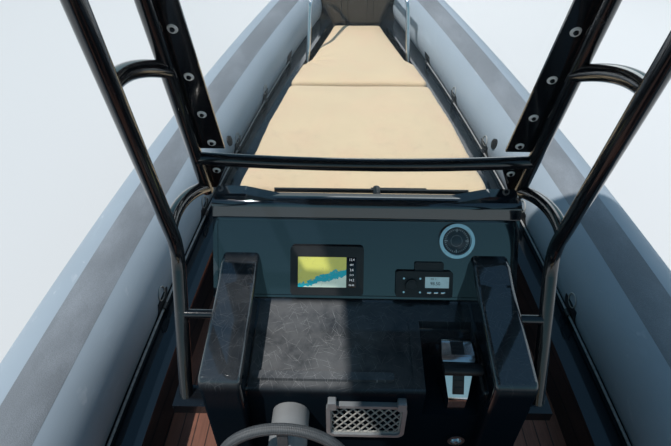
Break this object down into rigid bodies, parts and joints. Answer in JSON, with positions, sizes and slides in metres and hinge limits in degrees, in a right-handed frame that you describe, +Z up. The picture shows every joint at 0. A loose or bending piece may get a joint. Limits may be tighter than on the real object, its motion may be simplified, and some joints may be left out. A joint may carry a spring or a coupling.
{
  "type": "rigid inflatable boat",
  "caption": "Rigid inflatable boat with a deep-V hull, air tubes, console with frame and roof, sunpad, stern bench and a steerable, tilting outboard.",
  "frame": {"origin": "on the waterline, on the boat's middle line, below the dash of the console", "axes": "+Y to the bow, +X to starboard, +Z up"},
  "size_m": [2.9424, 9.5848, 3.3849],
  "materials": {
    "tube_fabric": "matt coated fabric",
    "strake_rubber": "ribbed matt rubber",
    "hull_gelcoat": "gloss gelcoat",
    "black_gelcoat": "gloss gelcoat, lightly scratched",
    "sole_planks": "satin planks with dark seams",
    "sand_fabric": "coated cloth",
    "frame_black": "gloss black",
    "roof_gelcoat": "gloss gelcoat",
    "clear_screen": "clear",
    "compass_dome": "clear dome over a dark card",
    "net_cord": "knotted cord",
    "bright_steel": "polished",
    "black_plastic": "satin",
    "rope": "twisted cord",
    "hub_grey": "satin",
    "wheel_rim": "textured grip",
    "engine_black": "gloss",
    "engine_metal": "satin",
    "prop_steel": "polished"
  },
  "bodies": {
    "boat": {"air_valves": "black_plastic", "backrest_posts": "frame_black", "bench_backrest": "sand_fabric", "bow_deck": "black_gelcoat", "bow_eye": "bright_steel", "bow_rails": "bright_steel", "chartplotter": "black_plastic", "cleats": "bright_steel", "coaming_port": "black_gelcoat", "coaming_starboard": "black_gelcoat", "compass": "bright_steel", "compass_glass": "compass_dome", "console": "black_gelcoat", "cross_tube": "frame_black", "dash_socket": "bright_steel", "engine_clamp": "engine_metal", "frame_legs": "frame_black", "front_cushion": "sand_fabric", "grab_lines": "rope", "helm_backrest": "sand_fabric", "helm_cushion": "sand_fabric", "helm_hub": "hub_grey", "helm_seat": "black_gelcoat", "hull": "hull_gelcoat", "line_holders": "black_plastic", "link_tubes": "frame_black", "net": "net_cord", "net_pocket": "bright_steel", "radio": "black_plastic", "roof": "roof_gelcoat", "roof_cross_rails": "frame_black", "roof_side_rails": "frame_black", "rub_strake": "strake_rubber", "screen_plates": "frame_black", "sole": "sole_planks", "stern_bench": "black_gelcoat", "sunpad_aft": "sand_fabric", "sunpad_base": "black_gelcoat", "sunpad_forward": "sand_fabric", "swim_platforms": "hull_gelcoat", "throttle": "bright_steel", "throttle_grip": "black_plastic", "transom": "hull_gelcoat", "tube_port": "tube_fabric", "tube_starboard": "tube_fabric", "windscreen": "clear_screen", "wiper": "frame_black"},
    "locker_lid": {"bow_locker_lid": "black_gelcoat"},
    "bench_seat": {"bench_lid": "black_gelcoat", "bench_cushion": "sand_fabric"},
    "wheel": {"steering_wheel": "wheel_rim"},
    "tilt_block": {"engine_swivel": "engine_metal"},
    "outboard": {"engine_leg": "engine_black", "engine_cowl": "engine_black"},
    "screw": {"propeller": "prop_steel"}
  },
  "joints": [
    {"name": "engine_tilt", "type": "hinge", "parent": "boat", "child": "tilt_block", "pos_m": [0, -3.835, 0.35], "axis": [-1, 0, 0], "range_deg": [0, 65]},
    {"name": "engine_steer", "type": "hinge", "parent": "tilt_block", "child": "outboard", "pos_m": [0, -3.965, 0.1], "axis": [0, 0, 1], "range_deg": [-30, 30]},
    {"name": "propeller_spin", "type": "hinge", "parent": "outboard", "child": "screw", "pos_m": [0, -4.45, -0.62], "axis": [0, -1, 0], "continuous": true},
    {"name": "wheel_turn", "type": "hinge", "parent": "boat", "child": "wheel", "pos_m": [-0.26, -0.785, 0.902], "axis": [0, -0.9962, 0.0872], "range_deg": [-540, 540]},
    {"name": "bench_lid_lift", "type": "hinge", "parent": "boat", "child": "bench_seat", "pos_m": [0, -2.84, 0.5403], "axis": [1, 0, 0], "range_deg": [0, 75]},
    {"name": "locker_lid_lift", "type": "hinge", "parent": "boat", "child": "locker_lid", "pos_m": [0, 4.311, 0.93], "axis": [-1, 0, 0], "range_deg": [0, 95]}
  ],
  "couplings": [
    {"joint": "wheel_turn", "follows": "engine_steer", "ratio": -18}
  ]
}
